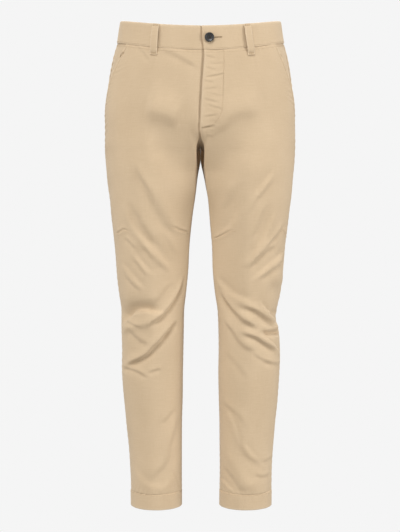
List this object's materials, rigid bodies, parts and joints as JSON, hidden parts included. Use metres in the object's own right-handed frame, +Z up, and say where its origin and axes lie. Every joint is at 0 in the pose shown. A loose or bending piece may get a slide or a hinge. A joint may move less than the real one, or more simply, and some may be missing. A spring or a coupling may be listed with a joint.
{
  "type": "chino trousers",
  "caption": "Slim chino trousers in worn, hollow form, with a waistband and belt loops, a buttoned fly, slanted pockets, darted knees and stitched hems.",
  "frame": {"origin": "centre of the waistband ring, half way up the band at the side, where the wearer's waist holds the trousers", "axes": "+Z up, -Y to the front, +X to the wearer's left"},
  "size_m": [0.3698, 0.2358, 0.943],
  "materials": {
    "twill": "matt cotton twill, beige",
    "button": "satin, charcoal"
  },
  "bodies": {
    "root": {"front_right": "twill", "front_left": "twill", "back_right": "twill", "back_left": "twill", "waistband_right": "twill", "waistband_left": "twill", "fly_placket": "twill", "pocket_facing_right": "twill", "pocket_facing_left": "twill", "belt_loop_front_right": "twill", "belt_loop_front_left": "twill", "belt_loop_back_right": "twill", "belt_loop_back_left": "twill", "belt_loop_back_centre": "twill", "hem_right": "twill", "hem_left": "twill", "waist_button": "button"}
  },
  "joints": []
}
